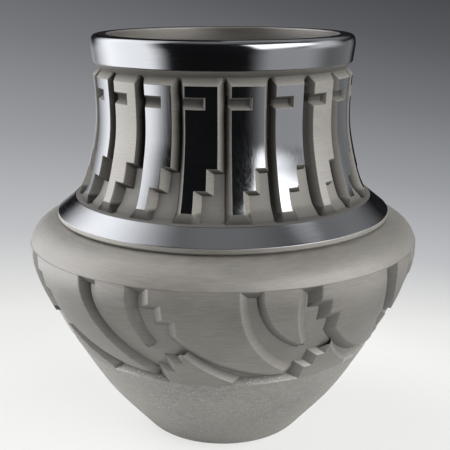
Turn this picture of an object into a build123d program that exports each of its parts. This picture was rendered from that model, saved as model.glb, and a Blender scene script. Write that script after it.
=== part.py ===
from build123d import *
import os
from math import cos, degrees, radians, sin

os.makedirs("parts", exist_ok=True)

# Sizes in millimetres: +Z up, the origin at the centre of the flat foot, the front faces -Y
clay_wall = 8.0
lap_drop = 3.0
overrun = 12.0

# Base bowl: plain and round, from the flat foot to the line under the carved zone
foot_radius = 44.0
foot_edge_width = 7.4
foot_edge_height = 4.9
floor_thickness = 10.0
line_radius = 91.0
line_height = 59.3
line_bevel_width = 2.6
line_bevel_rise = 3.4

# Carved belly zone, from the line up to the sharp keel
belly_height = 61.9
belly_relief = 4.6
motif_count = 8
keel_bevel_drop = 4.6

# Shoulder, from the keel up to the neck's foot
# Its start and swell are widths out and drops down from the ring's seat
shoulder_height = 27.2
shoulder_width = 32.2
shoulder_start_width = 2.2
shoulder_start_drop = 0.3
shoulder_swell_width = 11.2
shoulder_swell_drop = 3.5

# Polished ring, a cone over the joint of neck and shoulder
# Its corners are widths out and drops down from the neck's foot
ring_crest_width = 4.7
ring_crest_drop = 1.2
ring_edge_width = 15.3
ring_edge_drop = 9.8
ring_edge_bevel = 2.6
ring_seat_width = 13.2
ring_seat_drop = 13.8

# Neck: a concave wall that flares to its foot, with a ring of carved upright panels
neck_height = 74.0
neck_foot_radius = 84.2
neck_wall_width = 6.2
neck_relief = 3.8
panel_count = 20
panel_groove = 0.8
panel_side_bevel = 3.3
panel_top_bevel_drop = 4.3
panel_foot_rise = 5.2
panel_foot_bevel_rise = 1.4
slot_drop = 13.3
slot_opening = 6.4
slot_depth = 2.9
slot_length = 10.7
slot_wall_angle = 24.0
step_one_rise = 27.2
step_one_width = 5.6
step_two_rise = 16.0
step_two_width = 11.7

# Rim band: an upright polished band with a flat lip and a true round mouth
rim_radius = 77.0
rim_height = 18.6
rim_face_height = 15.4
rim_taper = 1.3
rim_lip_bevel = 0.8
lip_width = 9.5
groove_inset = 4.6

# Outline stations as (height share, radius share) of the spans that they follow
neck_shares = ((1.0, 0.0), (0.742, -0.093), (0.519, -0.042), (0.372, 0.127), (0.285, 0.25),
               (0.166, 0.466), (0.069, 0.72), (0.0, 1.0))
belly_shares = ((1.0, 1.0), (0.91, 1.0), (0.76, 0.935), (0.575, 0.775), (0.29, 0.43), (0.0, 0.0))
base_shares = ((1.0, 1.0), (0.74, 0.79), (0.43, 0.505), (0.23, 0.275), (0.0, 0.0))
shoulder_inner_shares = ((1.0, 0.0), (0.78, 0.27), (0.53, 0.53), (0.25, 0.83), (0.0, 1.0))
bowl_inner_shares = ((1.0, 1.0), (0.62, 0.875), (0.3, 0.73), (0.08, 0.56), (0.0, 0.36))

# How far past the relief a notch is cut, as a share of its sloping top
reach_share = 4.0

# Belly motifs as (share of the pitch across, share of the zone's height)
wave_top_shares = ((-0.45, 1.1), (0.12, 1.1), (0.12, 0.96))
wave_back_shares = ((0.12, 0.96), (0.19, 0.52), (0.47, 0.15))
wave_belly_shares = ((0.45, 0.07), (0.05, 0.20), (-0.30, 0.55))
wave_step_shares = ((-0.30, 0.55), (-0.30, 0.69), (-0.375, 0.69), (-0.375, 0.83), (-0.45, 0.83), (-0.45, 1.1))
feather_top_shares = ((0.21, 0.96), (0.21, 1.1), (0.46, 1.1), (0.46, 0.96))
feather_edge_shares = ((0.46, 0.96), (0.47, 0.66), (0.56, 0.38))
feather_spine_shares = ((0.56, 0.38), (0.32, 0.58), (0.21, 0.96))
terrace_step_shares = ((0.10, 0.06), (0.10, -0.1), (-0.43, -0.1), (-0.43, 0.18), (-0.36, 0.18), (-0.36, 0.30),
                       (-0.29, 0.30), (-0.29, 0.41), (-0.25, 0.41))
terrace_slope_shares = ((-0.25, 0.41), (-0.10, 0.21), (0.10, 0.06))

# Heights that the sizes lead to, from the foot up
keel_height = line_height + belly_height
neck_foot_height = keel_height + shoulder_height
ring_seat_height = neck_foot_height - ring_seat_drop
groove_height = neck_foot_height + neck_height
height = groove_height + rim_height

# Radii and turns that the sizes lead to
foot_edge_radius = foot_radius + foot_edge_width
keel_radius = neck_foot_radius + shoulder_width
ring_seat_radius = neck_foot_radius + ring_seat_width
groove_radius = rim_radius - groove_inset
mouth_radius = rim_radius - lip_width
panel_pitch = 360.0 / panel_count
motif_pitch = 360.0 / motif_count
front = -90.0

# Corners where the wall courses meet, as (radius, height), outer and inner
rim_joint = (groove_radius, groove_height)
rim_joint_inner = (mouth_radius, groove_height - lap_drop)
neck_foot = (neck_foot_radius, neck_foot_height)
neck_foot_inner = (neck_foot_radius - clay_wall, neck_foot_height - lap_drop)
keel_joint = (keel_radius - belly_relief, keel_height - keel_bevel_drop)
keel_joint_inner = (keel_joint[0] - clay_wall, keel_joint[1] - lap_drop)
line_joint = (line_radius - line_bevel_width, line_height + line_bevel_rise)
line_joint_inner = (line_joint[0] - clay_wall, line_joint[1] - lap_drop)


def radial_plane(angle):
    """The upright plane through the axis, with its X pointing out at an angle."""
    turn = radians(angle)
    return Plane(origin=(0, 0, 0), x_dir=(cos(turn), sin(turn), 0), z_dir=(sin(turn), -cos(turn), 0))


def stations(shares, low, high):
    """Points at shares of the spans from a low corner to a high corner."""
    return [(low[0] + (high[0] - low[0]) * across, low[1] + (high[1] - low[1]) * up) for up, across in shares]


def neck_stations(outward):
    """Points down the neck, from the groove under the rim to the neck's foot."""
    points = []
    for up, across in neck_shares:
        radius = groove_radius + (neck_foot_radius - groove_radius) * across
        points.append((radius + outward, neck_foot_height + neck_height * up))
    return points


base_face = stations(base_shares, (foot_edge_radius, foot_edge_height), (line_radius, line_height))
belly_face = stations(belly_shares, (line_radius, line_height), (keel_radius, keel_height))
belly_ground = stations(belly_shares, line_joint, keel_joint)
belly_inner = stations(belly_shares, line_joint_inner, keel_joint_inner)


def share_at(shares, up):
    """The radius share at a height share, straight from one station to the next."""
    for (upper, wide), (lower, narrow) in zip(shares, shares[1:]):
        if up >= lower:
            return narrow + (wide - narrow) * (min(up, upper) - lower) / (upper - lower)
    return shares[-1][1]


def belly_radius(up):
    """The belly's radius at a share of the carved zone's height."""
    return line_radius + (keel_radius - line_radius) * share_at(belly_shares, up)


def neck_radius(up):
    """The radius of the neck's ground at a share of the neck's height."""
    return groove_radius + (neck_foot_radius - groove_radius) * share_at(neck_shares, up)


def motif_points(shares):
    """Motif shares as points of the front view, where X is across and Y is up."""
    points = []
    for across, up in shares:
        turn = radians(across * motif_pitch)
        points.append((belly_radius(up) * sin(turn), line_height + belly_height * up))
    return points


def write(name, part):
    part.label = name
    export_step(part, f"parts/{name}.step")


def write_copies(name, part, count, first_turn, pitch):
    """Write a ring of like pieces, each turned to its own place."""
    for number in range(count):
        with BuildPart() as copy:
            add(part, rotation=(0, 0, first_turn + number * pitch))
        write(f"{name}_{number + 1:02d}", copy.part)


# Base bowl: the moulded bottom, from the flat foot to the line under the carved zone
with BuildPart() as base_bowl:
    with BuildSketch(Plane.XZ):
        with BuildLine():
            wall = Spline(base_face)
            foot = Spline(wall @ 1, (foot_radius, 0), tangents=[wall % 1, (-1, 0)])
            inside = Spline(stations(bowl_inner_shares, (0, floor_thickness), line_joint_inner))
            Polyline(foot @ 1, (0, 0), (0, floor_thickness), inside @ 1)
            Polyline(inside @ 0, line_joint, wall @ 0)
        make_face()
    revolve(axis=Axis.Z)
write("base_bowl", base_bowl.part)

# Belly wall: the course under the relief, cut back to the ground of the carving
with BuildPart() as belly_wall:
    with BuildSketch(Plane.XZ):
        with BuildLine():
            outside = Spline(belly_ground)
            inside = Spline(belly_inner)
            Line(outside @ 0, inside @ 0)
            Line(outside @ 1, inside @ 1)
        make_face()
    revolve(axis=Axis.Z)
write("belly_wall", belly_wall.part)

# Shoulder wall: from the ring's seat over the swell to the keel, with the keel's underside
with BuildPart() as shoulder_wall:
    with BuildSketch(Plane.XZ):
        with BuildLine():
            seat = Line(neck_foot, (ring_seat_radius, ring_seat_height))
            lip = Line(seat @ 1, seat @ 1 + (shoulder_start_width, -shoulder_start_drop))
            swell = Spline(lip @ 1, seat @ 1 + (shoulder_swell_width, -shoulder_swell_drop),
                           (keel_radius, keel_height))
            Polyline(swell @ 1, keel_joint, keel_joint_inner)
            inside = Spline(stations(shoulder_inner_shares, (neck_foot_inner[0], keel_joint_inner[1]),
                                     (keel_joint_inner[0], neck_foot_inner[1])))
            Line(inside @ 0, neck_foot)
        make_face()
    revolve(axis=Axis.Z)
write("shoulder_wall", shoulder_wall.part)

# Shoulder ring: the polished cone over the joint, with an upright lower edge
with BuildPart() as shoulder_ring:
    with BuildSketch(Plane.XZ):
        with BuildLine():
            crest = Line(neck_foot, (neck_foot_radius + ring_crest_width, neck_foot_height - ring_crest_drop))
            cone = Line(crest @ 1, crest @ 0 + (ring_edge_width, -ring_edge_drop))
            edge = Line(cone @ 1, cone @ 1 - (0, ring_edge_bevel))
            Polyline(edge @ 1, (ring_seat_radius, ring_seat_height), neck_foot)
        make_face()
    revolve(axis=Axis.Z)
write("shoulder_ring", shoulder_ring.part)

# Neck wall: the course under the panels
with BuildPart() as neck_wall:
    with BuildSketch(Plane.XZ):
        with BuildLine():
            outside = Spline(neck_stations(0))
            inside = Spline([rim_joint_inner] + neck_stations(-neck_wall_width)[1:-1] + [neck_foot_inner])
            Line(outside @ 0, inside @ 0)
            Line(outside @ 1, inside @ 1)
        make_face()
    revolve(axis=Axis.Z)
write("neck_wall", neck_wall.part)

# Rim band: the last coil, with a bevelled lip and the true bore of the mouth
with BuildPart() as rim_band:
    with BuildSketch(Plane.XZ):
        with BuildLine():
            Polyline(rim_joint_inner, (mouth_radius, height), (rim_radius - rim_lip_bevel, height),
                     (rim_radius, height - rim_lip_bevel),
                     (rim_radius - rim_taper, height - rim_face_height), rim_joint, close=True)
        make_face()
    revolve(axis=Axis.Z)
write("rim_band", rim_band.part)

# Neck panel: made facing the front, with bevelled sides, a slot from its left side and two kiva steps
panel_mid_radius = (groove_radius + neck_foot_radius) / 2
panel_half_turn = panel_pitch / 2 - degrees(panel_groove / 2 / panel_mid_radius)
slot_face_radius = neck_radius(1 - slot_drop / neck_height) + neck_relief
slot_left = -slot_face_radius * radians(panel_pitch)
slot_right = slot_length + panel_side_bevel - slot_face_radius * radians(panel_half_turn)
panel_top = groove_height - panel_top_bevel_drop
panel_foot = neck_foot_height + panel_foot_rise
panel_heel = neck_foot_height + panel_foot_bevel_rise
steps = ((step_one_width, step_one_rise), (step_two_width, step_two_rise))

# What lies outside the neck's ground in a plane through the axis
with BuildSketch() as neck_outside:
    with BuildLine():
        ground = Spline(neck_stations(0))
        Polyline(ground @ 1, (neck_foot_radius + overrun, neck_foot_height),
                 (neck_foot_radius + overrun, groove_height), ground @ 0)
    make_face()


def lean_out(turn, side):
    """The way a side's bevel leans: outwards by the relief and over the panel by the bevel."""
    out = radians(front + turn)
    return (neck_relief * cos(out) + side * panel_side_bevel * sin(out),
            neck_relief * sin(out) - side * panel_side_bevel * cos(out), 0)


with BuildPart() as neck_panel:
    with BuildSketch(radial_plane(front - panel_half_turn)):
        add(neck_outside.sketch)
        with BuildLine():
            face = Spline(neck_stations(neck_relief))
            Polyline(face @ 1, (0, neck_foot_height), (0, groove_height), face @ 0)
        make_face(mode=Mode.INTERSECT)
        with BuildLine():
            Polyline(rim_joint, (0, groove_height), (0, panel_heel),
                     (neck_radius(panel_foot_bevel_rise / neck_height), panel_heel),
                     (neck_radius(panel_foot_rise / neck_height) + neck_relief, panel_foot),
                     (neck_foot_radius + overrun, panel_foot),
                     (neck_foot_radius + overrun, panel_top),
                     (groove_radius + neck_relief, panel_top), close=True)
        make_face(mode=Mode.INTERSECT)
    revolve(axis=Axis.Z, revolution_arc=2 * panel_half_turn)
    for side in (-1, 1):
        with BuildSketch(radial_plane(front + side * panel_half_turn)):
            add(neck_outside.sketch)
        extrude(amount=overrun, dir=lean_out(side * panel_half_turn, side), mode=Mode.SUBTRACT)
    for width, rise in steps:
        turn = panel_half_turn - degrees(width / panel_mid_radius)
        notch_low = rise - panel_side_bevel
        with BuildSketch(radial_plane(front + turn)) as notch:
            add(neck_outside.sketch)
            with BuildLine():
                inner = (neck_radius(notch_low / neck_height), neck_foot_height + notch_low)
                outer = (neck_radius(rise / neck_height) + neck_relief, neck_foot_height + rise)
                reach = (outer[0] + (outer[0] - inner[0]) * reach_share,
                         outer[1] + (outer[1] - inner[1]) * reach_share)
                Polyline((0, inner[1]), inner, reach, (reach[0], 0), (0, 0), close=True)
            make_face(mode=Mode.INTERSECT)
        revolve(notch.sketch, axis=Axis.Z, revolution_arc=panel_pitch, mode=Mode.SUBTRACT)
        extrude(notch.sketch, amount=overrun, dir=lean_out(turn, 1), mode=Mode.SUBTRACT)
    with BuildSketch(Plane.XZ.offset(slot_face_radius)) as slot:
        with Locations(((slot_left + slot_right) / 2, groove_height - slot_drop)):
            Rectangle(slot_right - slot_left, slot_opening)
    extrude(slot.sketch, amount=overrun, mode=Mode.SUBTRACT)
    extrude(slot.sketch, amount=-slot_depth, taper=slot_wall_angle, mode=Mode.SUBTRACT)
write_copies("neck_panel", neck_panel.part, panel_count, panel_pitch / 2, panel_pitch)

# Raised layer: the stretch of the belly's relief that one motif of each kind is cut from
with BuildPart() as raised_layer:
    with BuildSketch(radial_plane(front - motif_pitch)):
        with BuildLine():
            ground = Spline(belly_ground)
            face = Spline(belly_face)
            Line(ground @ 0, face @ 0)
            Line(ground @ 1, face @ 1)
        make_face()
    revolve(axis=Axis.Z, revolution_arc=2 * motif_pitch)

# Wave: a crescent from the keel to a low tip, with kiva steps down its left side
with BuildPart() as wave:
    add(raised_layer.part)
    with BuildSketch(Plane.XZ):
        with BuildLine():
            Polyline(motif_points(wave_top_shares))
            ThreePointArc(motif_points(wave_back_shares))
            Line(motif_points(wave_back_shares)[-1], motif_points(wave_belly_shares)[0])
            ThreePointArc(motif_points(wave_belly_shares))
            Polyline(motif_points(wave_step_shares))
        make_face()
    extrude(amount=keel_radius + overrun, mode=Mode.INTERSECT)
write_copies("belly_wave", wave.part, motif_count, 0, motif_pitch)

# Feather: a curved point that hangs from the keel beside the wave's back
with BuildPart() as feather:
    add(raised_layer.part)
    with BuildSketch(Plane.XZ):
        with BuildLine():
            Polyline(motif_points(feather_top_shares))
            ThreePointArc(motif_points(feather_edge_shares))
            ThreePointArc(motif_points(feather_spine_shares))
        make_face()
    extrude(amount=keel_radius + overrun, mode=Mode.INTERSECT)
write_copies("belly_feather", feather.part, motif_count, 0, motif_pitch)

# Terrace: kiva steps that climb from the base line under the wave
with BuildPart() as terrace:
    add(raised_layer.part)
    with BuildSketch(Plane.XZ):
        with BuildLine():
            Polyline(motif_points(terrace_step_shares))
            ThreePointArc(motif_points(terrace_slope_shares))
        make_face()
    extrude(amount=keel_radius + overrun, mode=Mode.INTERSECT)
write_copies("belly_terrace", terrace.part, motif_count, 0, motif_pitch)
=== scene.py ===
import bmesh
import bpy
import numpy as np
import random
from math import atan2, ceil, cos, hypot, radians, sin, sqrt, tau
from mathutils import Matrix, Vector


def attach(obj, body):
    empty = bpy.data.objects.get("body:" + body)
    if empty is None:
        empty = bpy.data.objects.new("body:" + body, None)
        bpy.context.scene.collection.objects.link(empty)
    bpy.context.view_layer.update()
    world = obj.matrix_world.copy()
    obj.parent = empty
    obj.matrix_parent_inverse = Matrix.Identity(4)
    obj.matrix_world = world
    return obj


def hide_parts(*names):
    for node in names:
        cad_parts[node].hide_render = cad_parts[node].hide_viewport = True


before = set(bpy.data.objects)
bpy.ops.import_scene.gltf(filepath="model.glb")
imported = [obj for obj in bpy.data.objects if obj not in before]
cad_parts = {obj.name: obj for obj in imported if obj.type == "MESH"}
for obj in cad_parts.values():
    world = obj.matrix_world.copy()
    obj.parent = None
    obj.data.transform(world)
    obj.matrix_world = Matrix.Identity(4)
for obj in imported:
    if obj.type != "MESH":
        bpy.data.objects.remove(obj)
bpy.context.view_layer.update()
mm = 0.001
print("frame loaded:", len(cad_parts), "nodes")

# The jar's own lines in millimetres: heights from the foot, radii from the axis
jar = {
    "rimRadius": 77.0, "rimTop": 241.0, "mouthRadius": 67.5,
    "grooveRadius": 72.4, "grooveHeight": 222.4,
    "neckFootRadius": 84.2, "neckFootHeight": 148.4,
    "keelRadius": 116.4, "keelHeight": 121.2, "keelBevelDrop": 4.6,
    "lineRadius": 91.0, "lineHeight": 59.3, "lineBevelWidth": 2.6, "lineBevelRise": 3.4,
    "bellyRelief": 4.6, "clayWall": 8.0, "lapDrop": 3.0, "neckWall": 6.2,
}
turnSteps = 240  # steps of a full turn on every turned piece


def linear(colour):
    # an sRGB hex colour as linear red, green, blue and alpha
    parts = [int(colour[i:i + 2], 16) / 255 for i in (1, 3, 5)]
    return tuple(c / 12.92 if c <= 0.04045 else ((c + 0.055) / 1.055) ** 2.4 for c in parts) + (1.0,)


def addNode(tree, kind, inputs=None, **settings):
    # one node with its settings, its sockets' values and the links into them
    node = tree.nodes.new(kind)
    for name, value in settings.items():
        setattr(node, name, value)
    for socket, value in (inputs or {}).items():
        if isinstance(value, bpy.types.NodeSocket):
            tree.links.new(value, node.inputs[socket])
        else:
            node.inputs[socket].default_value = value
    return node


# Camera: 54 cm in front of the axis and 27 cm up, looking 15 degrees down
camera = {"place": (0.0012, -0.5403, 0.2709), "pitch": 15.15, "lens": 72.58, "sensor": 36.0}
eye = bpy.data.objects.new("camera", bpy.data.cameras.new("camera"))
eye.data.lens = camera["lens"]
eye.data.sensor_width = camera["sensor"]
eye.data.clip_start = 0.01
eye.location = camera["place"]
eye.rotation_euler = (radians(90 - camera["pitch"]), 0, 0)
bpy.context.scene.collection.objects.link(eye)
bpy.context.scene.camera = eye
bpy.context.scene.view_settings.view_transform = "Standard"

# Studio: soft patches of light on the world, each by its turn from the front (towards +X) and its height, in
# degrees. Each range reads: starts, is full from, is full to, has gone. Lean slants a patch's sides above the
# horizon, tilt slants its lower and upper edges.
studio = {
    "leftSoftbox": {"turn": (-147, -109, -68, -44), "rise": (-30, -20, 42, 76), "lean": 0.38,
                    "strength": 5.0},
    "rightSoftbox": {"turn": (29, 37, 79, 105), "rise": (-3, 9, 25, 42), "lean": 0.42, "tilt": 0.13,
                     "strength": 9.2},
    "rightFar": {"turn": (66, 92, 100, 130), "rise": (-6, 10, 28, 44), "strength": 2.4},
    "rightGlow": {"turn": (20, 44, 74, 106), "rise": (-40, -26, 2, 10), "strength": 1.0},
    "rightEdge": {"turn": (20, 44, 138, 156), "rise": (-40, -26, 2, 10), "strength": 0.5},
    "leftSweep": {"turn": (-190, -185, -140, -120), "rise": (-95, -90, -12, 4), "strength": 0.8},
    "ceiling": {"turn": (-200, -190, 190, 200), "rise": (45, 85, 100, 110), "strength": 0.75},
    "backGlow": {"turn": (100, 112, 200, 210), "rise": (10, 35, 60, 75), "strength": 0.7},
    "backEdge": {"turn": (98, 106, 118, 128), "rise": (50, 56, 62, 68), "strength": 0.8},
}
backdrop = {"lightColour": "#F6F9FF", "room": 0.012, "tilt": 0.25, "tiltFall": 0.62,
            "stops": ((-0.40, "#F2F3EF"), (-0.35, "#EAEBE8"), (-0.28, "#C0C1C4"), (-0.19, "#999B9F"),
                      (-0.10, "#76787C"), (-0.02, "#5A5B5E"), (0.06, "#424346"), (0.4, "#2C2D30"))}
world = bpy.data.worlds.new("studio")
bpy.context.scene.world = world
world.use_nodes = True
tree = world.node_tree
tree.nodes.clear()
sight = addNode(tree, "ShaderNodeTexCoord")
ways = addNode(tree, "ShaderNodeSeparateXYZ", {0: sight.outputs["Generated"]})
back = addNode(tree, "ShaderNodeMath", {0: ways.outputs["Y"], 1: -1.0}, operation="MULTIPLY")
turnAngle = addNode(tree, "ShaderNodeMath", {0: ways.outputs["X"], 1: back.outputs[0]}, operation="ARCTAN2")
turnDegrees = addNode(tree, "ShaderNodeMath", {0: turnAngle.outputs[0]}, operation="DEGREES")
riseAngle = addNode(tree, "ShaderNodeMath", {0: ways.outputs["Z"]}, operation="ARCSINE")
riseDegrees = addNode(tree, "ShaderNodeMath", {0: riseAngle.outputs[0]}, operation="DEGREES")
above = addNode(tree, "ShaderNodeMath", {0: riseDegrees.outputs[0], 1: 0.0}, operation="MAXIMUM")
total = backdrop["room"]
for patch in studio.values():
    leaned = addNode(tree, "ShaderNodeMath", {0: above.outputs[0], 1: patch.get("lean", 0.0),
                                              2: turnDegrees.outputs[0]}, operation="MULTIPLY_ADD")
    tilted = addNode(tree, "ShaderNodeMath", {0: turnDegrees.outputs[0], 1: -patch.get("tilt", 0.0),
                                              2: riseDegrees.outputs[0]}, operation="MULTIPLY_ADD")
    strength = patch["strength"]
    for angle, limits in ((leaned, patch["turn"]), (tilted, patch["rise"])):
        for start, full in (limits[:2], (limits[3], limits[2])):
            edge = addNode(tree, "ShaderNodeMapRange", {"Value": angle.outputs[0], "From Min": start,
                                                        "From Max": full}, interpolation_type="SMOOTHSTEP")
            strength = addNode(tree, "ShaderNodeMath", {0: edge.outputs["Result"], 1: strength},
                               operation="MULTIPLY").outputs[0]
    total = addNode(tree, "ShaderNodeMath", {0: strength, 1: total}, operation="ADD").outputs[0]
lights = addNode(tree, "ShaderNodeBackground", {"Color": linear(backdrop["lightColour"]), "Strength": total})
# the backdrop that the camera sees: pale at the table, dark grey above, with painted light making it a little
# lighter on the left
tilt = addNode(tree, "ShaderNodeMath", {0: ways.outputs["Z"], 1: backdrop["tiltFall"], 2: backdrop["tilt"]},
               operation="MULTIPLY_ADD")
slope = addNode(tree, "ShaderNodeMath", {0: ways.outputs["X"], 1: tilt.outputs[0], 2: ways.outputs["Z"]},
                operation="MULTIPLY_ADD")
share = addNode(tree, "ShaderNodeMapRange", {"Value": slope.outputs[0], "From Min": -1.0, "From Max": 1.0})
fall = addNode(tree, "ShaderNodeValToRGB", {"Fac": share.outputs["Result"]})
ramp = fall.color_ramp
while len(ramp.elements) < len(backdrop["stops"]):
    ramp.elements.new(0.5)
for element, (height, colour) in zip(ramp.elements, backdrop["stops"]):
    element.position = (height + 1) / 2
    element.color = linear(colour)
seen = addNode(tree, "ShaderNodeBackground", {"Color": fall.outputs["Color"], "Strength": 1.0})
path = addNode(tree, "ShaderNodeLightPath")
both = addNode(tree, "ShaderNodeMixShader", {0: path.outputs["Is Camera Ray"], 1: lights.outputs[0],
                                             2: seen.outputs[0]})
addNode(tree, "ShaderNodeOutputWorld", {"Surface": both.outputs[0]})

# Table: a pale disc that fades into the backdrop. Most of what the camera sees of it is its own glow, so that
# the jar's shadow on it stays faint.
table = {"radius": 0.45, "solidTo": 0.115, "goneAt": 0.22, "colour": "#D8D8D5", "glow": "#F7F7F4",
         "glowShare": 0.7}
bm = bmesh.new()
bmesh.ops.create_circle(bm, cap_ends=True, radius=table["radius"], segments=96)
mesh = bpy.data.meshes.new("table")
bm.to_mesh(mesh)
bm.free()
top = bpy.data.objects.new("table", mesh)
bpy.context.scene.collection.objects.link(top)
paper = bpy.data.materials.new("paleTablePaper")
paper.use_nodes = True
tree = paper.node_tree
tree.nodes.clear()
spot = addNode(tree, "ShaderNodeTexCoord")
away = addNode(tree, "ShaderNodeVectorMath", {0: spot.outputs["Object"]}, operation="LENGTH")
fade = addNode(tree, "ShaderNodeMapRange", {"Value": away.outputs["Value"], "From Min": table["solidTo"],
                                            "From Max": table["goneAt"]}, interpolation_type="SMOOTHSTEP")
chalk = addNode(tree, "ShaderNodeBsdfDiffuse", {"Color": linear(table["colour"])})
glow = addNode(tree, "ShaderNodeEmission", {"Color": linear(table["glow"]), "Strength": 1.0})
path = addNode(tree, "ShaderNodeLightPath")
own = addNode(tree, "ShaderNodeMath", {0: path.outputs["Is Camera Ray"], 1: table["glowShare"]},
              operation="MULTIPLY")
surface = addNode(tree, "ShaderNodeMixShader", {0: own.outputs[0], 1: chalk.outputs[0], 2: glow.outputs[0]})
clear = addNode(tree, "ShaderNodeBsdfTransparent")
mixed = addNode(tree, "ShaderNodeMixShader", {0: fade.outputs["Result"], 1: surface.outputs[0],
                                              2: clear.outputs[0]})
addNode(tree, "ShaderNodeOutputMaterial", {"Surface": mixed.outputs[0]})
top.data.materials.append(paper)
print("camera, studio light, backdrop and table set")


# Finishes. Pattern sizes are real millimetres; Object coordinates are metres.
def patternSpace(tree, across, along, up):
    # Object coordinates divided by a mark's real size each way
    place = addNode(tree, "ShaderNodeTexCoord")
    return addNode(tree, "ShaderNodeMapping", {"Vector": place.outputs["Object"],
                                               "Scale": (1 / (across * mm), 1 / (along * mm), 1 / (up * mm))})


def newFinish(name):
    finish = bpy.data.materials.new(name)
    finish.use_nodes = True
    finish.node_tree.nodes.clear()
    return finish, finish.node_tree


def burnishedSlip(name, strokeWide, strokeHigh):
    # smoked iron-rich slip rubbed with a polishing stone: near black, mirror-bright, with faint stone strokes
    look = {"colour": "#070708", "smokeColour": "#0C0C0D", "ior": 2.3, "smooth": 0.06, "rough": 0.2,
            "strokeFrom": 0.3, "strokeTo": 0.75, "strokeDepth": 0.025, "waveSize": 9.0, "waveDepth": 0.045}
    finish, tree = newFinish(name)
    strokes = patternSpace(tree, strokeWide, strokeWide, strokeHigh)
    stroke = addNode(tree, "ShaderNodeTexNoise", {"Vector": strokes.outputs[0], "Scale": 1.0, "Detail": 4.0,
                                                  "Roughness": 0.6})
    waves = patternSpace(tree, look["waveSize"], look["waveSize"], look["waveSize"])
    wave = addNode(tree, "ShaderNodeTexNoise", {"Vector": waves.outputs[0], "Scale": 1.0, "Detail": 1.0})
    smoke = addNode(tree, "ShaderNodeMix", {"Factor": wave.outputs["Fac"], "A": linear(look["colour"]),
                                            "B": linear(look["smokeColour"])}, data_type="RGBA")
    gloss = addNode(tree, "ShaderNodeMapRange", {"Value": stroke.outputs["Fac"],
                                                 "From Min": look["strokeFrom"],
                                                 "From Max": look["strokeTo"], "To Min": look["smooth"],
                                                 "To Max": look["rough"]})
    rubbed = addNode(tree, "ShaderNodeBump", {"Height": stroke.outputs["Fac"], "Strength": 0.4,
                                              "Distance": look["strokeDepth"] * mm})
    soft = addNode(tree, "ShaderNodeBump", {"Height": wave.outputs["Fac"], "Strength": 0.5,
                                            "Distance": look["waveDepth"] * mm, "Normal": rubbed.outputs[0]})
    slip = addNode(tree, "ShaderNodeBsdfPrincipled", {"Base Color": smoke.outputs["Result"],
                                                      "IOR": look["ior"],
                                                      "Roughness": gloss.outputs["Result"],
                                                      "Normal": soft.outputs[0]})
    addNode(tree, "ShaderNodeOutputMaterial", {"Surface": slip.outputs[0]})
    return finish


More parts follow.
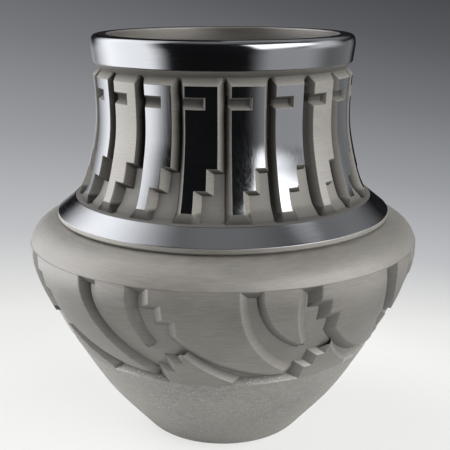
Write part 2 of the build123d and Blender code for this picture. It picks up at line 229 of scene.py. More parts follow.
def matteSlip(name, colour, paleColour, strokeWide, strokeHigh, grain, grainDepth, ior, rough):
    # smoked slip left unpolished: warm grey, with a fine grit and the soft drag of a damp brush or scraper
    look = {"cloudWide": 38.0, "cloudHigh": 26.0, "strokeShare": 0.5, "cloudShare": 0.3, "gritShare": 0.35,
            "darkAt": 0.42, "paleAt": 0.74, "paintedShadeColour": "#141312", "paintedShadeShare": 0.94, "paintedShadeDull": 0.45,
            "dragDepth": 0.05, "sheenFrom": 0.3, "sheenTo": 0.7, "sheenSpread": 0.06, "tint": "#F9F2E8"}
    finish, tree = newFinish(name)
    strokes = patternSpace(tree, strokeWide, strokeWide, strokeHigh)
    stroke = addNode(tree, "ShaderNodeTexNoise", {"Vector": strokes.outputs[0], "Scale": 1.0, "Detail": 5.0,
                                                  "Roughness": 0.6})
    grits = patternSpace(tree, grain, grain, grain)
    grit = addNode(tree, "ShaderNodeTexNoise", {"Vector": grits.outputs[0], "Scale": 1.0, "Detail": 3.0,
                                                "Roughness": 0.7})
    clouds = patternSpace(tree, look["cloudWide"], look["cloudWide"], look["cloudHigh"])
    cloud = addNode(tree, "ShaderNodeTexNoise", {"Vector": clouds.outputs[0], "Scale": 1.0, "Detail": 2.0})
    marks = addNode(tree, "ShaderNodeMath", {0: stroke.outputs["Fac"], 1: look["strokeShare"]},
                    operation="MULTIPLY")
    tones = addNode(tree, "ShaderNodeMath", {0: cloud.outputs["Fac"], 1: look["cloudShare"],
                                             2: marks.outputs[0]}, operation="MULTIPLY_ADD")
    speckle = addNode(tree, "ShaderNodeMath", {0: grit.outputs["Fac"], 1: look["gritShare"],
                                               2: tones.outputs[0]}, operation="MULTIPLY_ADD")
    spread = addNode(tree, "ShaderNodeMapRange", {"Value": speckle.outputs[0], "From Min": look["darkAt"],
                                                  "From Max": look["paleAt"]})
    smoke = addNode(tree, "ShaderNodeMix", {"Factor": spread.outputs["Result"], "A": linear(colour),
                                            "B": linear(paleColour)}, data_type="RGBA")
    # the recess attribute is painted shade, 1 at the bottom of a carved groove: it darkens the colour and
    # dulls the sheen there
    recess = addNode(tree, "ShaderNodeAttribute", attribute_name="recess")
    paintedShade = addNode(tree, "ShaderNodeMath", {0: recess.outputs["Fac"], 1: look["paintedShadeShare"]},
                   operation="MULTIPLY")
    # smoke now holds the painted shade as well as the tone
    smoke = addNode(tree, "ShaderNodeMix", {"Factor": paintedShade.outputs[0], "A": smoke.outputs["Result"],
                                            "B": linear(look["paintedShadeColour"])}, data_type="RGBA")
    dragged = addNode(tree, "ShaderNodeBump", {"Height": stroke.outputs["Fac"], "Strength": 0.5,
                                               "Distance": look["dragDepth"] * mm})
    sandy = addNode(tree, "ShaderNodeBump", {"Height": grit.outputs["Fac"], "Strength": 0.6,
                                             "Distance": grainDepth * mm, "Normal": dragged.outputs[0]})
    sheen = addNode(tree, "ShaderNodeMapRange", {"Value": stroke.outputs["Fac"],
                                                 "From Min": look["sheenFrom"], "From Max": look["sheenTo"],
                                                 "To Min": rough - look["sheenSpread"],
                                                 "To Max": rough + look["sheenSpread"]})
    dull = addNode(tree, "ShaderNodeMath", {0: recess.outputs["Fac"], 1: look["paintedShadeDull"],
                                            2: sheen.outputs["Result"]}, operation="MULTIPLY_ADD",
                   use_clamp=True)
    slip = addNode(tree, "ShaderNodeBsdfPrincipled", {"Base Color": smoke.outputs["Result"], "IOR": ior,
                                                      "Specular Tint": linear(look["tint"]),
                                                      "Roughness": dull.outputs[0],
                                                      "Normal": sandy.outputs[0]})
    addNode(tree, "ShaderNodeOutputMaterial", {"Surface": slip.outputs[0]})
    return finish, tree, slip, smoke


bandGloss = burnishedSlip("burnishedSlipBand", 14.0, 0.5)  # strokes run round the rim and the ring
panelGloss = burnishedSlip("burnishedSlipPanel", 0.7, 12.0)  # strokes run up and down the panels
matteClay = matteSlip("matteSlip", "#5B5750", "#7B776F", 9.0, 0.7, 0.35, 0.05, 1.9, 0.5)[0]
grooveClay = matteSlip("matteSlipGroove", "#69655D", "#817C74", 9.0, 0.7, 0.35, 0.05, 1.45, 0.6)[0]
insideClay = matteSlip("scrapedInsideSlip", "#332F2B", "#4C4741", 16.0, 1.1, 0.45, 0.08, 2.0, 0.45)[0]
baseClay, tree, slip, smoke = matteSlip("sandedMicaSlip", "#5E5B55", "#86827A", 5.0, 1.4, 0.5, 0.09, 1.9, 0.5)
# mica flakes: a few bright grains, drawn at 0.5 mm so that they show
mica = {"size": 0.5, "greyFrom": 0.9, "brightFrom": 0.98, "colour": "#9E9C96"}
flakes = patternSpace(tree, mica["size"], mica["size"], mica["size"])
flake = addNode(tree, "ShaderNodeTexVoronoi", {"Vector": flakes.outputs[0], "Scale": 1.0})
chosen = addNode(tree, "ShaderNodeSeparateColor", {0: flake.outputs["Color"]})
bright = addNode(tree, "ShaderNodeMapRange", {"Value": chosen.outputs[0], "From Min": mica["greyFrom"],
                                              "From Max": mica["brightFrom"]})
# smoke holds the tone and its painted shade
lit = addNode(tree, "ShaderNodeMix", {"Factor": bright.outputs["Result"], "A": smoke.outputs["Result"],
                                      "B": linear(mica["colour"])}, data_type="RGBA")
tree.links.new(lit.outputs["Result"], slip.inputs["Base Color"])
print("finishes made")


# Shaping
def smoothLine(stations):
    # a natural cubic through (height, radius) stations: gives the radius at any height
    heights = np.array([s[0] for s in stations])[::-1]
    radii = np.array([s[1] for s in stations])[::-1]
    gaps = np.diff(heights)
    size = len(heights)
    system = np.eye(size)
    wanted = np.zeros(size)
    for i in range(1, size - 1):
        system[i, i - 1:i + 2] = gaps[i - 1], 2 * (gaps[i - 1] + gaps[i]), gaps[i]
        wanted[i] = 6 * ((radii[i + 1] - radii[i]) / gaps[i] - (radii[i] - radii[i - 1]) / gaps[i - 1])
    bends = np.linalg.solve(system, wanted)

    def radiusAt(height):
        i = int(np.clip(np.searchsorted(heights, height) - 1, 0, size - 2))
        gap, below, above = gaps[i], height - heights[i], heights[i + 1] - height
        curve = (bends[i] * above ** 3 + bends[i + 1] * below ** 3) / (6 * gap)
        return (curve + (radii[i] / gap - bends[i] * gap / 6) * above
                + (radii[i + 1] / gap - bends[i + 1] * gap / 6) * below)
    return radiusAt


def smoothPath(points, count):
    # a smooth curve through points in the (radius, height) plane, stepped evenly along their chords
    chords = [hypot(b[0] - a[0], b[1] - a[1]) for a, b in zip(points, points[1:])]
    marks = np.concatenate(([0.0], np.cumsum(chords)))
    across, up = (smoothLine([(m, p[i]) for m, p in zip(marks, points)][::-1]) for i in (0, 1))
    return [(across(marks[-1] * i / count), up(marks[-1] * i / count)) for i in range(count + 1)]


def between(shares, low, high):
    # a smooth line through shares of the spans from a low (radius, height) corner to a high one
    return smoothLine([(low[1] + (high[1] - low[1]) * up, low[0] + (high[0] - low[0]) * across)
                       for up, across in shares])


def down(line, high, low, count):
    # points (radius, height) along a smooth line, from high to low
    heights = [high + (low - high) * i / count for i in range(count + 1)]
    return [(line(height), height) for height in heights]


groove = (jar["grooveRadius"], jar["grooveHeight"])
grooveInner = (jar["mouthRadius"], jar["grooveHeight"] - jar["lapDrop"])
neckFoot = (jar["neckFootRadius"], jar["neckFootHeight"])
neckFootInner = (neckFoot[0] - jar["clayWall"], neckFoot[1] - jar["lapDrop"])
keel = (jar["keelRadius"], jar["keelHeight"])
keelGround = (keel[0] - jar["bellyRelief"], keel[1] - jar["keelBevelDrop"])
keelInner = (keelGround[0] - jar["clayWall"], keelGround[1] - jar["lapDrop"])
lineEdge = (jar["lineRadius"], jar["lineHeight"])
lineGround = (lineEdge[0] - jar["lineBevelWidth"], lineEdge[1] + jar["lineBevelRise"])
lineInner = (lineGround[0] - jar["clayWall"], lineGround[1] - jar["lapDrop"])

bellyShares = ((1.0, 1.0), (0.91, 1.0), (0.76, 0.935), (0.575, 0.775), (0.29, 0.43), (0.0, 0.0))
bellyFace = between(bellyShares, lineEdge, keel)
bellyGround = between(bellyShares, lineGround, keelGround)
bellyInner = between(bellyShares, lineInner, keelInner)
neckShares = ((1.0, 0.0), (0.742, -0.093), (0.519, -0.042), (0.372, 0.127), (0.285, 0.25), (0.166, 0.466),
              (0.069, 0.72), (0.0, 1.0))
neckStations = [(neckFoot[1] + (groove[1] - neckFoot[1]) * up, groove[0] + (neckFoot[0] - groove[0]) * out)
                for up, out in neckShares]
neckGround = smoothLine(neckStations)
neckInner = smoothLine([grooveInner[::-1]]
                       + [(height, neckGround(height) - jar["neckWall"])
                          for height, radius in neckStations[1:-1]]
                       + [neckFootInner[::-1]])


def addPiece(name, bm, finishes, nodes, sharp=32.0):
    # the finished mesh, in metres, riding on the jar and standing for its CAD nodes
    bmesh.ops.scale(bm, vec=(mm, mm, mm), verts=bm.verts)
    mesh = bpy.data.meshes.new(name)
    bm.to_mesh(mesh)
    bm.free()
    mesh.shade_smooth()
    mesh.set_sharp_from_angle(angle=radians(sharp))
    piece = bpy.data.objects.new(name, mesh)
    bpy.context.scene.collection.objects.link(piece)
    for finish in finishes:
        mesh.materials.append(finish)
    weigh = piece.modifiers.new("evenNormals", "WEIGHTED_NORMAL")
    weigh.keep_sharp = True
    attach(piece, "root")
    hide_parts(*nodes)
    return piece


def turned(outline, softened):
    # an outline of (radius, height) points spun about the jar's axis, with its listed corners rounded
    bm = bmesh.new()
    points = [bm.verts.new((radius, 0, height)) for radius, height in outline]
    lines = [bm.edges.new(pair) for pair in zip(points, points[1:] + points[:1])]
    bmesh.ops.spin(bm, geom=points + lines, cent=(0, 0, 0), axis=(0, 0, 1), angle=tau, steps=turnSteps,
                   use_merge=True)
    bmesh.ops.remove_doubles(bm, verts=bm.verts, dist=0.001)
    bmesh.ops.recalc_face_normals(bm, faces=bm.faces)
    for index, width in softened.items():
        radius, height = outline[index]
        rings = [e for e in bm.edges if all(abs(hypot(v.co.x, v.co.y) - radius) < 0.01
                                            and abs(v.co.z - height) < 0.01 for v in e.verts)]
        bmesh.ops.bevel(bm, geom=rings, offset=width, offset_type="OFFSET", segments=4, profile=0.5,
                        affect="EDGES", material=-1)
    return bm


def finishFaces(bm, choose):
    # gives each face the finish that choose picks by its radius, its height and how far it faces out and up
    for face in bm.faces:
        middle = face.calc_center_median()
        out = Vector((middle.x, middle.y, 0)).normalized()
        face.material_index = choose(hypot(middle.x, middle.y), middle.z, face.normal.dot(out), face.normal.z)


def shadeIn(bm, share):
    # how much painted shade each point gets, from 0 to 1, by its radius and height
    layer = bm.verts.layers.float.new("recess")
    for v in bm.verts:
        v[layer] = min(1.0, max(0.0, share(hypot(v.co.x, v.co.y), v.co.z)))


insideShade = 0.6  # painted shade over the whole inside below the mouth
halfWall = jar["clayWall"] / 2  # points further in than this from the outer line belong to the inside,
nearInside = 2.0  # and so do points nearer than this to the inner line

# Rim band: an upright polished band with a flat polished lip; painted shade darkens its underside and its
# inside below the mouth
rim = {"faceHeight": 15.4, "taper": 1.3, "swell": 0.22, "swellDrop": 0.55, "swellTaper": 0.42,
       "lipWidth": 6.3, "shadeDrop": (4.0, 8.5), "undersideShade": 0.5,
       "crown": ((0.45, 1.75), (1.25, 0.95), (2.8, 0.3), (4.8, 0.04))}  # the rounded edge: drop and inset
faceLow = jar["rimTop"] - rim["faceHeight"]
rimLine = smoothLine([(jar["rimTop"] - drop, jar["rimRadius"] - inset) for drop, inset in rim["crown"]]
                     + [(jar["rimTop"] - rim["faceHeight"] * rim["swellDrop"],
                         jar["rimRadius"] - rim["taper"] * rim["swellTaper"] + rim["swell"]),
                        (faceLow, jar["rimRadius"] - rim["taper"])])
rimFace = down(rimLine, jar["rimTop"] - rim["crown"][0][0], faceLow, 32)
shadeHigh, shadeLow = (jar["rimTop"] - drop for drop in rim["shadeDrop"])
outline = [grooveInner] + [(jar["mouthRadius"], height) for height in (shadeLow, shadeHigh, jar["rimTop"])]
outline += [(jar["mouthRadius"] + rim["lipWidth"], jar["rimTop"])] + rimFace + [groove]
bm = turned(outline, {3: 1.0, 4: 0.6, 5: 0.4, len(outline) - 2: 0.5})
finishFaces(bm, lambda radius, height, out, up: 0 if height > faceLow + 0.1 and (out > 0.4 or up > 0.9)
            else (2 if radius < jar["mouthRadius"] + 0.5 else 1))
# painted shade: under the band, and inside below the mouth
shadeIn(bm, lambda radius, height: rim["undersideShade"] * (faceLow - height) / (faceLow - groove[1])
       if radius > groove[0] - 0.1
       else insideShade * min(1.0, (shadeHigh - height) / (shadeHigh - shadeLow)))
addPiece("rimBand", bm, [bandGloss, matteClay, insideClay], ["rim_band"])

# Neck wall: the ground behind the panels, carved a little deeper between its ends, scraped inside, with
# painted shade
carving = {"deeper": 1.6, "low": (149.5, 153.5), "high": (222.0, 219.5), "paintedShade": 0.38,
           "topShade": 0.5, "topShadeFrom": 216, "footShade": 0.8, "footShadeFrom": 158}


def neckFloor(height):
    share = 1.0
    for start, full in (carving["low"], carving["high"]):
        share *= min(1.0, max(0.0, (height - start) / (full - start)))
    return neckGround(height) - carving["deeper"] * share


def neckShade(radius, height):
    # painted shade: even behind the panels, more under the rim and at the ring
    if radius < neckInner(height) + nearInside:
        return insideShade
    rimward = (height - carving["topShadeFrom"]) / (groove[1] - carving["topShadeFrom"])
    ringward = (carving["footShadeFrom"] - height) / (carving["footShadeFrom"] - neckFoot[1])
    return max(carving["paintedShade"], carving["topShade"] * rimward, carving["footShade"] * ringward)


outline = down(neckFloor, groove[1], neckFoot[1], 72)
outline += down(neckInner, grooveInner[1], neckFootInner[1], 40)[::-1]
bm = turned(outline, {})
finishFaces(bm, lambda radius, height, out, up:
            1 if radius < neckGround(max(neckFoot[1], height)) - halfWall else 0)
shadeIn(bm, neckShade)
addPiece("neckWall", bm, [matteClay, insideClay], ["neck_wall"])

# Shoulder ring: the polished cone over the joint, with a matte ledge above and a matte lower edge
ring = {"crestWidth": 4.7, "crestDrop": 1.2, "edgeWidth": 15.3, "edgeDrop": 9.8, "edgeBevel": 2.6,
        "seatWidth": 13.2, "seatDrop": 13.8, "ledgeShade": 0.75}
crest = (neckFoot[0] + ring["crestWidth"], neckFoot[1] - ring["crestDrop"])
edge = (neckFoot[0] + ring["edgeWidth"], neckFoot[1] - ring["edgeDrop"])
seat = (neckFoot[0] + ring["seatWidth"], neckFoot[1] - ring["seatDrop"])
cone = [(crest[0] + (edge[0] - crest[0]) * i / 8, crest[1] + (edge[1] - crest[1]) * i / 8) for i in range(9)]
outline = [neckFoot] + cone + [(edge[0], edge[1] - ring["edgeBevel"]), seat]
bm = turned(outline, {1: 0.4, 9: 0.4, 10: 0.5})
finishFaces(bm, lambda radius, height, out, up: 0 if 0.4 < up < 0.93 and out > 0.3 else 1)
# painted shade on the matte ledge under the neck's foot
shadeIn(bm, lambda radius, height: ring["ledgeShade"] if radius < crest[0] + 0.5 and height > edge[1] else 0)
addPiece("shoulderRing", bm, [bandGloss, matteClay], ["shoulder_ring"])

# Shoulder wall: the swell from the ring's seat to the sharp keel, undercut to the belly's ground
shoulder = {"startWidth": 2.2, "startDrop": 0.3, "swellWidth": 11.2, "swellDrop": 3.5,
            "flank": (114.3, 125.8), "smoke": 0.12}
start = (seat[0] + shoulder["startWidth"], seat[1] - shoulder["startDrop"])
swellFace = smoothPath([start, (seat[0] + shoulder["swellWidth"], seat[1] - shoulder["swellDrop"]),
                        shoulder["flank"], keel], 24)
shoulderInner = between(((1.0, 1.0), (0.78, 0.73), (0.53, 0.47), (0.25, 0.17), (0.0, 0.0)),
                        keelInner, neckFootInner)
outline = [neckFoot, seat] + swellFace + [keelGround]
outline += down(shoulderInner, neckFootInner[1], keelInner[1], 24)[::-1]
bm = turned(outline, {2: 0.4, 26: 0.45})
finishFaces(bm, lambda radius, height, out, up: 1 if out < -0.2 and radius < keelInner[0] + 1 else 0)
# the whole outside of the shoulder is evenly a little darker and duller; the inside gets the painted shade of
# the inside
shadeIn(bm, lambda radius, height:
       insideShade if radius < shoulderInner(height) + nearInside else shoulder["smoke"])
addPiece("shoulderWall", bm, [matteClay, insideClay], ["shoulder_wall"])

# Belly wall: the ground of the carving
outline = down(bellyGround, keelGround[1], lineGround[1], 36)
outline += down(bellyInner, keelInner[1], lineInner[1], 24)[::-1]
bm = turned(outline, {})
finishFaces(bm, lambda radius, height, out, up: 1 if out < -0.2 else 0)
shadeIn(bm, lambda radius, height: insideShade if radius < bellyGround(height) - halfWall else 0)
addPiece("bellyWall", bm, [matteClay, insideClay], ["belly_wall"])

# Base bowl: plain and sandy, down to the flat foot
base = {"footRadius": 44.0, "footEdgeRadius": 51.4, "footEdgeHeight": 4.9, "floorThickness": 10.0,
        "heelPull": 1.25}
baseFace = between(((1.0, 1.0), (0.74, 0.79), (0.43, 0.505), (0.23, 0.275), (0.0, 0.0)),
                   (base["footEdgeRadius"], base["footEdgeHeight"]), lineEdge)
bowlShares = ((1.0, 1.0), (0.62, 0.875), (0.3, 0.73), (0.08, 0.56), (0.0, 0.36))
bowlRise = lineInner[1] - base["floorThickness"]
bowlInner = smoothPath([(lineInner[0] * out, base["floorThickness"] + bowlRise * up)
                        for up, out in bowlShares], 36)
heelTop = (base["footEdgeRadius"], base["footEdgeHeight"])
lean = (baseFace(heelTop[1] + 0.5) - baseFace(heelTop[1])) / 0.5
heelReach = base["heelPull"] * (heelTop[0] - base["footRadius"])
heel = []
for share in (i / 10 for i in range(1, 11)):  # one smooth curve from the wall's own slope into the flat foot
    keep, move = 2 * share ** 3 - 3 * share ** 2 + 1, share ** 3 - 2 * share ** 2 + share
    stay = share ** 3 - share ** 2
    across = keep * heelTop[0] + (1 - keep) * base["footRadius"] - heelReach * (
        move * lean / hypot(lean, 1) + stay)
    heel.append((across, keep * heelTop[1] - heelReach * move / hypot(lean, 1)))
outline = down(baseFace, lineEdge[1], heelTop[1], 40) + heel + [(0, 0.0)]
outline += [(0, base["floorThickness"])] + bowlInner[::-1] + [lineGround]
bm = turned(outline, {0: 0.45})
finishFaces(bm, lambda radius, height, out, up:
            1 if out < -0.2 or (up > 0.2 and radius < lineInner[0]) else 0)
shadeIn(bm, lambda radius, height: insideShade if height > base["floorThickness"] - 0.5
       and radius < baseFace(height) - halfWall else 0)
addPiece("baseBowl", bm, [baseClay, insideClay], ["base_bowl"])
print("turned walls, ring and rim made")


# Carved plates: a face outline with a sloping wall all round it, drawn flat and then wrapped onto the jar
def groundOutline(outline, runs, limit=1.7):
    # each corner of the face run out to the foot of the walls beside it
    corners = []
    for i, point in enumerate(outline):
        before, after = point - outline[i - 1], outline[(i + 1) % len(outline)] - point
        outBefore, outAfter = (Vector((d.y, -d.x)).normalized() for d in (before, after))
        runBefore, runAfter = runs[i - 1], runs[i]
        turn = outBefore.x * outAfter.y - outBefore.y * outAfter.x
        if abs(turn) < 0.05:
            shift = (outBefore * runBefore + outAfter * runAfter) / 2
        else:
            shift = Vector((runBefore * outAfter.y - runAfter * outBefore.y,
                            runAfter * outBefore.x - runBefore * outAfter.x)) / turn
        longest = limit * max(abs(runBefore), abs(runAfter))
        if shift.length > longest:
            shift = shift.normalized() * longest
        corners.append(point + shift)
    return corners


def flatPlate(outline, runs, relief, deeper, sunk, wear):
    # the plate drawn flat: X across, Z up and its face towards -Y, closed behind
    bm = bmesh.new()
    foot = groundOutline(outline, runs)
    back = bm.faces.new([bm.verts.new((p.x, deeper + sunk, p.y)) for p in foot])
    places = {(round(p.x, 5), round(p.y, 5)): q for p, q in zip(foot, outline)}
    face = back
    for lift in (sunk, deeper + relief):
        grown = bmesh.ops.extrude_face_region(bm, geom=[face])["geom"]
        face = next(g for g in grown if isinstance(g, bmesh.types.BMFace))
        for v in face.verts:
            v.co.y -= lift
    for v in face.verts:
        place = places[(round(v.co.x, 5), round(v.co.z, 5))]
        v.co.x, v.co.z = place.x, place.y
    rims = [e for e in bm.edges if e.is_boundary]
    if rims:
        bmesh.ops.holes_fill(bm, edges=rims)
    bmesh.ops.recalc_face_normals(bm, faces=bm.faces)
    bm.normal_update()
    worn = [e for e in bm.edges
            if min(-v.co.y for v in e.verts) > -deeper - 0.001 and max(-v.co.y for v in e.verts) > 0.01
            and e.calc_face_angle(0) > radians(24)]
    for f in bm.faces:
        f.material_index = 0 if f == face else 1
    bmesh.ops.bevel(bm, geom=worn, offset=wear, offset_type="OFFSET", segments=2, profile=0.5, affect="EDGES",
                    clamp_overlap=True, material=-1)
    return bm


def cutGrid(bm, step):
    # fine cuts across and up, so that the flat plate can follow the round wall
    for axis, way in ((0, Vector((1, 0, 0))), (2, Vector((0, 0, 1)))):
        low, high = min(v.co[axis] for v in bm.verts), max(v.co[axis] for v in bm.verts)
        count = ceil((high - low) / step)
        for i in range(1, count):
            bmesh.ops.bisect_plane(bm, geom=bm.verts[:] + bm.edges[:] + bm.faces[:], dist=0.0005,
                                   plane_co=way * (low + (high - low) * i / count), plane_no=way)


def turnedCopy(bm, turn):
    copy = bm.copy()
    bmesh.ops.rotate(copy, cent=(0, 0, 0), matrix=Matrix.Rotation(turn, 3, "Z"), verts=copy.verts)
    return copy


# Neck panels: bevelled, with a slot from the left and two kiva steps down the right
panel = {"count": 20, "faceWidth": 17.2, "sideRun": 3.6, "relief": 3.8, "sunk": 0.5, "wear": 0.32,
         "grid": 1.5, "topDrop": 4.3, "topGap": 0.3, "footRise": 4.6, "footRun": 3.94, "footFlare": 0.6,
         "slotDrop": 13.3, "slotOpening": 6.4, "slotRun": 3.15, "slotLength": 10.7, "slotStart": 0.985,
         "slotFloor": 0.9, "floorSunk": 0.6, "floorLap": 0.2, "sillShare": 0.2,
         "stepOneRise": 27.2, "stepOneWidth": 5.6, "stepTwoRise": 16.0, "stepTwoWidth": 11.7,
         "slotShade": 1.1, "sillShade": 0.6, "topShade": 0.65, "footShade": (0.5, 0.35), "stepShade": 0.85,
         "matte": (3, 8, 13, 18)}
# how far the carver's hand moved and widened some panels, in degrees; the rest vary as much, from a seed
handCut = {17: (0.6, 0.3), 18: (0.58, 0.5), 19: (0.18, -0.35), 20: (0.44, 0.55), 1: (1.13, 0.68),
           2: (0.94, 0.13), 3: (1.16, -0.56), 4: (0.65, 0.43)}
# how much more painted shade lies on the left and the right walls of some panels, less where negative
wallShade = {17: (0.0, 0.4), 18: (0.2, 0.45), 19: (0.1, 0.0), 20: (0.0, -0.2), 2: (0.45, 0.0),
             3: (0.12, 0.0)}
hand = random.Random(7)
panelMid = (groove[0] + neckFoot[0]) / 2
pitch = tau / panel["count"]
half = panel["faceWidth"] / 2
slotRight = panel["slotLength"] - half * panel["slotStart"]
slotMiddle = groove[1] - panel["slotDrop"]
high, low = groove[1] - panel["topDrop"], neckFoot[1] + panel["footRise"]
# the top and foot walls keep their slope down to the deeper ground
grown = 1 + carving["deeper"] / panel["relief"]
topRun, footRun = (panel["topDrop"] - panel["topGap"]) * grown, panel["footRun"] * grown
side, slotRun = panel["sideRun"], panel["slotRun"]
stepOne = (half - panel["stepOneWidth"], neckFoot[1] + panel["stepOneRise"])
stepTwo = (half - panel["stepTwoWidth"], neckFoot[1] + panel["stepTwoRise"])
slotLow, slotHigh = slotMiddle - panel["slotOpening"] / 2, slotMiddle + panel["slotOpening"] / 2
# each corner of the face, with how far the wall that follows it runs out
corners = [((-half, low), footRun), ((stepTwo[0], low), side), (stepTwo, side),
           ((stepOne[0], stepTwo[1]), side), (stepOne, side), ((half, stepOne[1]), side),
           ((half, high), topRun), ((-half, high), side), ((-half, slotHigh), slotRun),
           ((slotRight, slotHigh), slotRun), ((slotRight, slotLow), slotRun), ((-half, slotLow), side)]
flat = flatPlate([Vector(p) for p, run in corners], [run for p, run in corners], panel["relief"],
                 carving["deeper"], panel["sunk"], panel["wear"])
slotWide = slotRight + half
slotFloor = Matrix.Diagonal((slotWide, panel["floorSunk"] + panel["slotFloor"], panel["slotOpening"], 1))
slotPlace = Matrix.Translation((slotRight + panel["floorLap"] - slotWide / 2,
                                (panel["floorSunk"] - panel["slotFloor"]) / 2, slotMiddle))
floorVerts = bmesh.ops.create_cube(flat, size=1.0, matrix=slotPlace @ slotFloor)["verts"]
for v in floorVerts:
    if v.co.x < 0:  # its open end follows the slope of the panel's left wall
        v.co.x -= side * (panel["relief"] + v.co.y) / (panel["relief"] + carving["deeper"])
for f in {f for v in floorVerts for f in v.link_faces}:
    f.material_index = 1
cutGrid(flat, panel["grid"])
recess = flat.verts.layers.float.new("recess")
for v in flat.verts:
    lowered = panel["relief"] + v.co.y
    depth = min(1.0, max(0.0, lowered / panel["relief"]))
    run = side * lowered / (panel["relief"] + carving["deeper"])
    # painted shade: darker down the side walls, in the slot, on the top and foot slopes and under the steps
    v[recess] = min(1.0, max(0.0, (abs(v.co.x) - half) / side))
    # painted shade darkens the slot, less its sill
    if abs(v.co.z - slotMiddle) < panel["slotOpening"] / 2 and v.co.x < slotRight:
        sill = slotMiddle - v.co.z > panel["sillShare"] * panel["slotOpening"]
        v[recess] = max(v[recess], depth * panel["sillShade" if sill else "slotShade"])
    elif v.co.z > high:  # the top slope
        v[recess] = max(v[recess], depth * panel["topShade"])
    elif v.co.z < low:  # the foot slope
        v[recess] = max(v[recess], panel["footShade"][0] + depth * panel["footShade"][1])
    for across, up in (stepOne, stepTwo):  # the undersides of the steps
        if abs(v.co.z - up + run) < 0.05 and v.co.x > across + run - 0.05:
            v[recess] = max(v[recess], depth * panel["stepShade"])
    angle = v.co.x / panelMid
    radius = neckGround(min(v.co.z, groove[1])) - v.co.y
    if v.co.z < low and v.co.y < carving["deeper"] + 0.1:  # the foot stands out on the ring's ledge
        radius += panel["footFlare"] * (low - v.co.z)
    v.co = (angle, radius, v.co.z)
for number in range(1, panel["count"] + 1):
    matte = number in panel["matte"]
    moved, widened = handCut.get(number, (hand.uniform(0.4, 1.0), hand.uniform(-0.3, 0.5)))
    bm = flat.copy()
    layer = bm.verts.layers.float["recess"]
    shadeLeft, shadeRight = wallShade.get(number, (0.0, 0.0))
    for v in bm.verts:
        onStep = (v.co.z < stepOne[1] and v.co.x > (stepTwo[0] - 0.05) / panelMid
                  and v.co.y < neckGround(v.co.z) + panel["relief"] - 0.3)
        if onStep or abs(v.co.x) > half / panelMid:
            addedShade = shadeRight if onStep or v.co.x > 0 else shadeLeft
            v[layer] = min(1.0, max(0.0, v[layer] + addedShade))
        angle = v.co.x * (1 + radians(widened) * panelMid / panel["faceWidth"]) + radians(moved)
        angle += pitch * (number - 0.5)
        v.co = (v.co.y * sin(angle), -v.co.y * cos(angle), v.co.z)
    bmesh.ops.recalc_face_normals(bm, faces=bm.faces)
    addPiece(f"neckPanel_{number:02d}", bm,
             [matteClay if matte else panelGloss, grooveClay], [f"neck_panel_{number:02d}"])
flat.free()
print("neck panels made")

# Belly relief: a wave, a feather and a terrace, eight times round. Their points are shares of the pitch and
# of the height between the line and the keel.
relief = {"count": 8, "wallRun": 4.2, "cornerLimit": 2.4, "wear": 0.5, "grid": 2.4, "curveStep": 2.6,
          "sunk": 0.6, "paintedShade": 0.55}
zoneLow, zoneHigh = lineEdge[1], keel[1]


def bellyPoint(across, up):
    turn = tau / relief["count"] * across
    height = zoneLow + (zoneHigh - zoneLow) * up
    return Vector((bellyFace(min(height, zoneHigh)) * sin(turn), height))


def arc(start, middle, end):
    # points along the circle through three points, at the curve step, without the last one
    a, b, c = (bellyPoint(*p) for p in (start, middle, end))
    d = 2 * (a.x * (b.y - c.y) + b.x * (c.y - a.y) + c.x * (a.y - b.y))
    sa, sb, sc = a.length_squared, b.length_squared, c.length_squared
    centre = Vector(((sa * (b.y - c.y) + sb * (c.y - a.y) + sc * (a.y - b.y)) / d,
                     (sa * (c.x - b.x) + sb * (a.x - c.x) + sc * (b.x - a.x)) / d))
    radius = (a - centre).length
    first, last = (atan2(p.y - centre.y, p.x - centre.x) for p in (a, c))
    mid = atan2(b.y - centre.y, b.x - centre.x)
    sweep = (last - first) % tau
    if (mid - first) % tau > sweep:
        sweep -= tau
    count = max(2, round(abs(sweep) * radius / relief["curveStep"]))
    return [centre + Vector((cos(first + sweep * i / count), sin(first + sweep * i / count))) * radius
            for i in range(count)]


def corner(*points):
    return [bellyPoint(*p) for p in points]


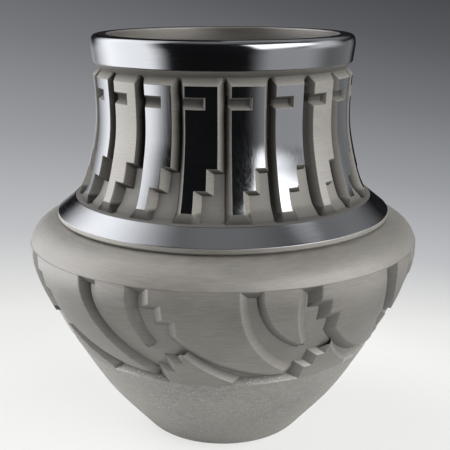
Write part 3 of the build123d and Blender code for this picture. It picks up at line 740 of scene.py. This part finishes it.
motifs = {
    "Wave": arc((0.12, 0.96), (0.19, 0.52), (0.47, 0.15)) + corner((0.47, 0.15))
    + arc((0.45, 0.07), (0.05, 0.20), (-0.30, 0.55))
    + corner((-0.30, 0.55), (-0.30, 0.69), (-0.375, 0.69), (-0.375, 0.83), (-0.45, 0.83), (-0.45, 1.1),
             (0.12, 1.1)),
    "Feather": arc((0.46, 0.96), (0.47, 0.66), (0.56, 0.38)) + arc((0.56, 0.38), (0.32, 0.58), (0.21, 0.96))
    + corner((0.21, 0.96), (0.21, 1.1), (0.46, 1.1)),
    "Terrace": arc((-0.25, 0.41), (-0.10, 0.21), (0.10, 0.06))
    + corner((0.10, 0.06), (0.10, -0.1), (-0.43, -0.1), (-0.43, 0.18), (-0.36, 0.18), (-0.36, 0.30),
             (-0.29, 0.30), (-0.29, 0.41)),
}


def signedArea(outline):
    return sum(p.x * q.y - q.x * p.y for p, q in zip(outline, outline[1:] + outline[:1])) / 2


for name, outline in motifs.items():
    if signedArea(outline) < 0:
        outline = outline[::-1]
    run = relief["wallRun"] / 2
    inset = groundOutline(outline, [-run] * len(outline), relief["cornerLimit"])
    depth = jar["bellyRelief"]
    flat = flatPlate(inset, [relief["wallRun"]] * len(inset), depth, 0.0, relief["sunk"], relief["wear"])
    for place, way in (((0, 0, keelGround[1]), (0, jar["keelBevelDrop"], depth)),
                       ((0, 0, lineGround[1]), (0, jar["lineBevelRise"], -depth))):
        cut = bmesh.ops.bisect_plane(flat, geom=flat.verts[:] + flat.edges[:] + flat.faces[:], dist=0.0005,
                                     plane_co=place, plane_no=way, clear_outer=True)
        rims = [e for e in cut["geom_cut"] if isinstance(e, bmesh.types.BMEdge) and e.is_boundary]
        if rims:
            bmesh.ops.holes_fill(flat, edges=rims)
    cutGrid(flat, relief["grid"])
    recess = flat.verts.layers.float.new("recess")
    for v in flat.verts:
        lift = -v.co.y / depth
        # painted shade, darker down the walls towards the ground
        v[recess] = relief["paintedShade"] * min(1.0, max(0.0, 1 - lift))
        ground, face = bellyGround(v.co.z), bellyFace(v.co.z)
        radius = ground + (face - ground) * lift
        v.co.y = -sqrt(radius ** 2 - v.co.x ** 2)
    bmesh.ops.recalc_face_normals(flat, faces=flat.faces)
    for number in range(1, relief["count"] + 1):
        addPiece(f"belly{name}_{number:02d}", turnedCopy(flat, tau / relief["count"] * (number - 1)),
                 [matteClay], [f"belly_{name.lower()}_{number:02d}"])
    flat.free()
print("belly relief made")
